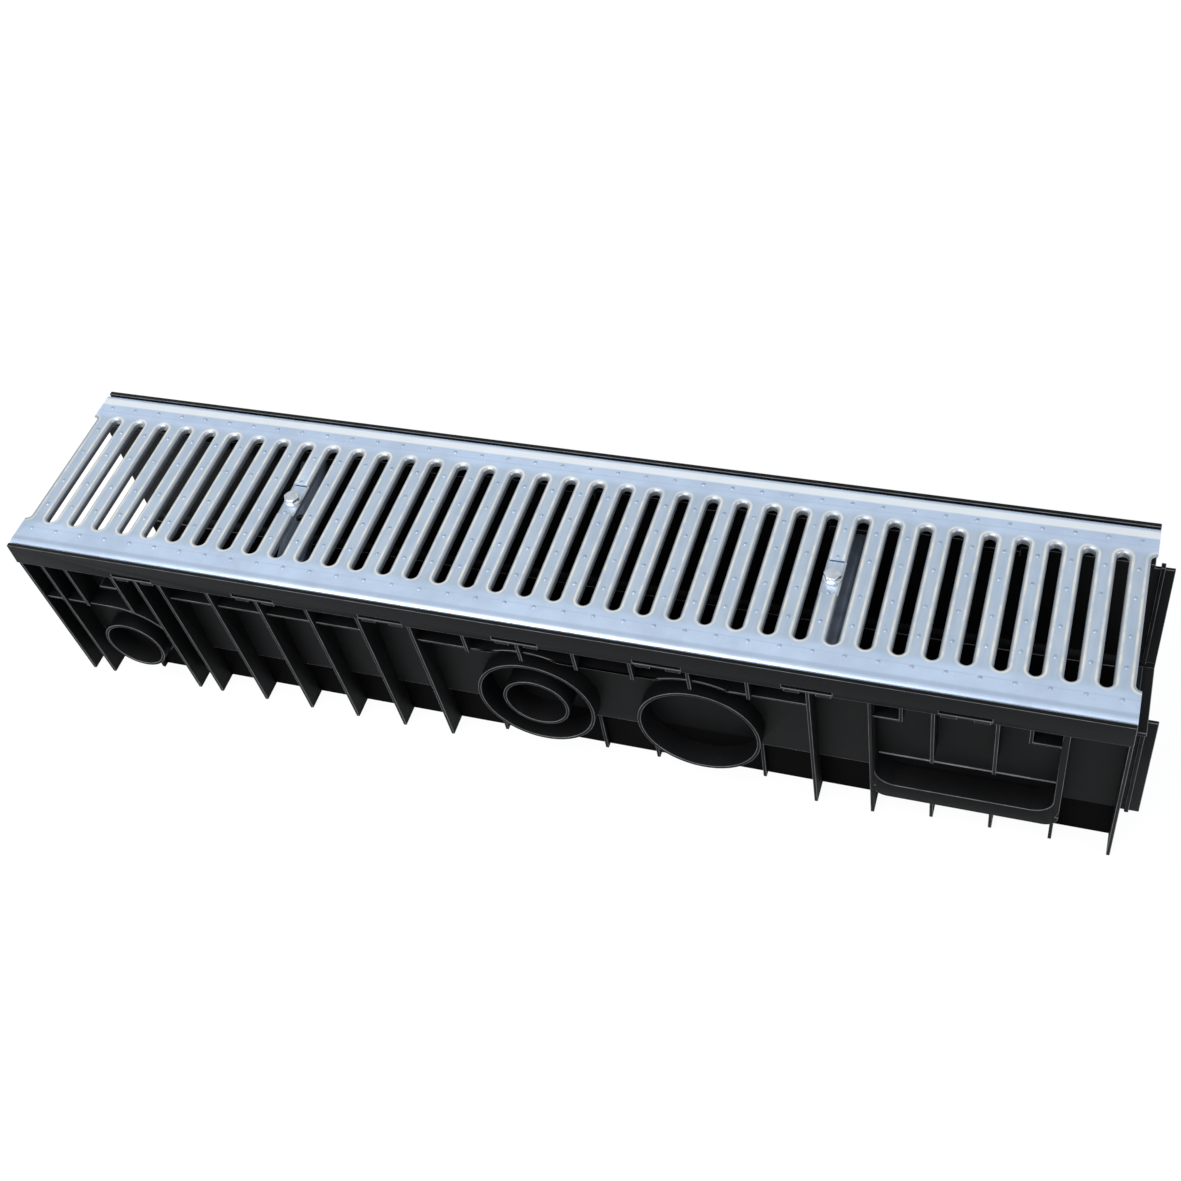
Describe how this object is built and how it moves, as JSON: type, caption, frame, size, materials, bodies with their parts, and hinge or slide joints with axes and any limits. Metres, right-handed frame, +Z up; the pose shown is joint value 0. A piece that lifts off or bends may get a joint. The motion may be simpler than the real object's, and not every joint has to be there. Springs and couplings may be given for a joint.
{
  "type": "drainage channel",
  "caption": "Trench drain channel: ribbed open trough with blind pipe stubs and a side outlet, covered by a slotted pressed-steel grating clamped by swivelling bars.",
  "frame": {"origin": "centre of the flat underside of the trough, midway between the trough's two ends", "axes": "+X along the channel towards the end with the tongues, -Y towards the side with the pipe stubs, +Z up"},
  "size_m": [1.016, 0.207, 0.2064],
  "materials": {
    "black_plastic": "moulded polypropylene, satin",
    "galvanised_sheet": "hot-dip galvanised",
    "dark_steel": "galvanised, dull",
    "zinc_fastener": "bright zinc plated"
  },
  "bodies": {
    "channel": {"channel_body": "black_plastic", "grating": "galvanised_sheet", "bolt_left": "zinc_fastener", "bolt_right": "zinc_fastener", "washer_left": "zinc_fastener", "washer_right": "zinc_fastener"},
    "bar_left": {"locking_bar_left": "dark_steel", "nut_left": "zinc_fastener"},
    "bar_right": {"locking_bar_right": "dark_steel", "nut_right": "zinc_fastener"}
  },
  "joints": [
    {"name": "bar_left_swivel", "type": "hinge", "parent": "channel", "child": "bar_left", "pos_m": [-0.25, 0, 0.1755], "axis": [0, 0, 1], "range_deg": [-13, 77]},
    {"name": "bar_right_swivel", "type": "hinge", "parent": "channel", "child": "bar_right", "pos_m": [0.25, 0, 0.1755], "axis": [0, 0, 1], "range_deg": [0, 90]}
  ]
}
